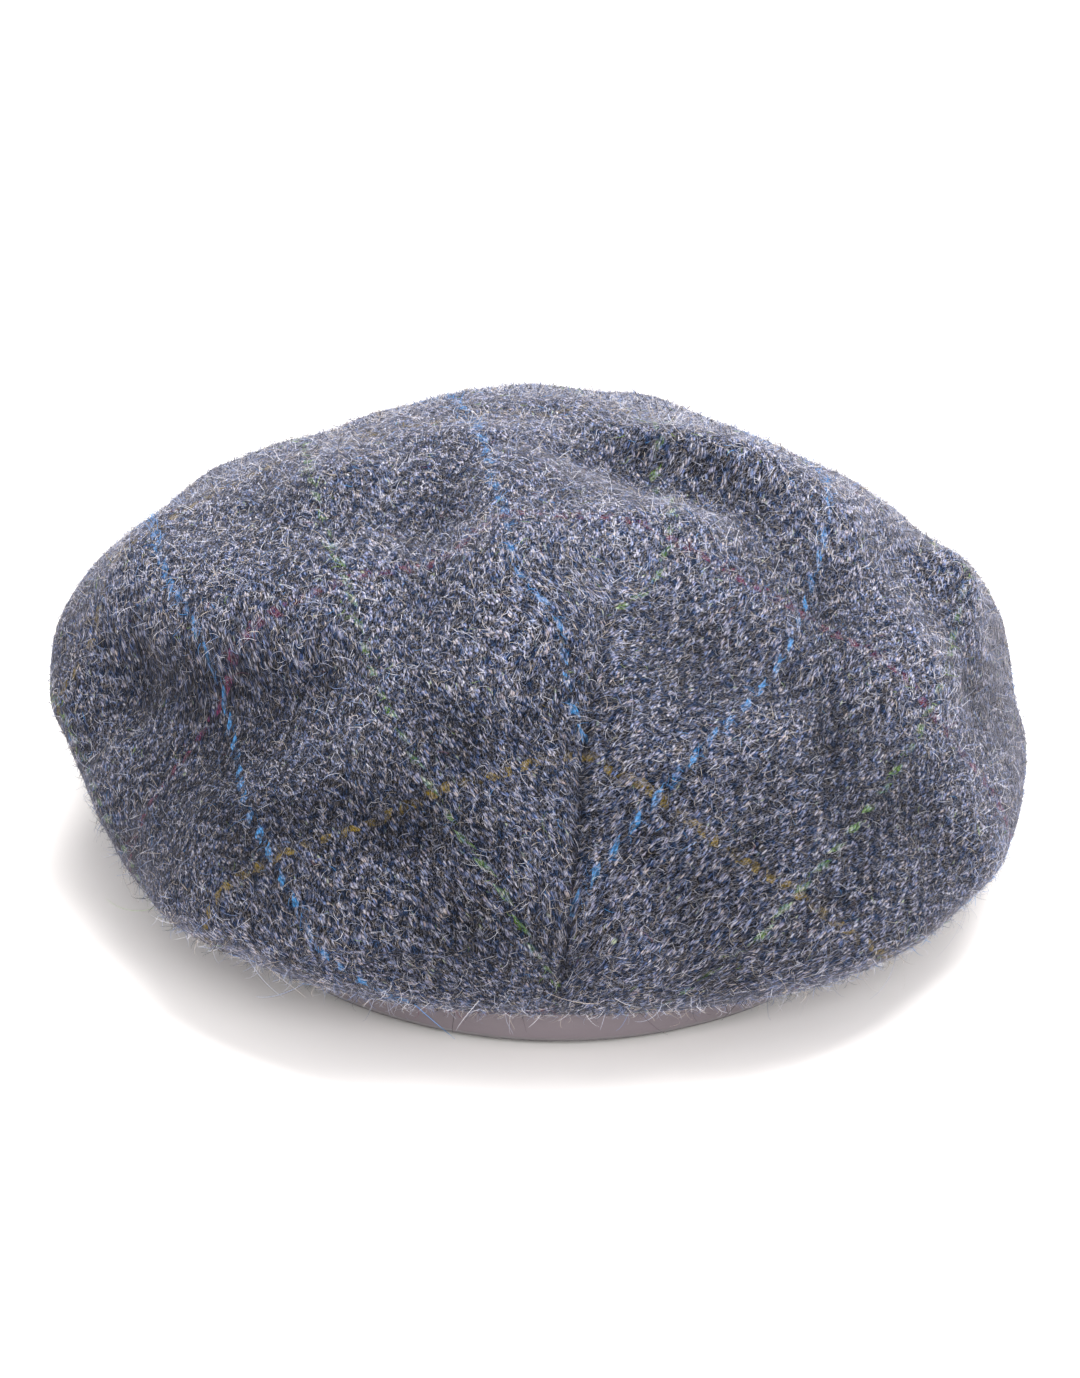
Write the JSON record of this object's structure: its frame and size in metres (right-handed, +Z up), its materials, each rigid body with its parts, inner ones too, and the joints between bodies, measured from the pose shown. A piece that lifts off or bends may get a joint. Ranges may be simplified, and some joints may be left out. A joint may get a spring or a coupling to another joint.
{
  "type": "flat cap",
  "caption": "Soft wool flat cap with a one-piece crown, a stiff peak and a satin sweatband, lying on its opening.",
  "frame": {"origin": "middle of the cap's bounding box on the surface that it lies on, under the head opening", "axes": "+Z up, the peak points to -Y, the back seam is on the +Y side and the wearer's left is +X"},
  "size_m": [0.2234, 0.271, 0.1049],
  "materials": {
    "crown_tweed": "brushed blue-grey wool tweed, matte and hairy",
    "peak_tweed": "brushed blue-grey wool tweed, matte and hairy",
    "sweatband_satin": "mauve-grey satin with a soft sheen"
  },
  "bodies": {
    "root": {"crown": "crown_tweed", "peak": "peak_tweed", "sweatband": "sweatband_satin"}
  },
  "joints": []
}
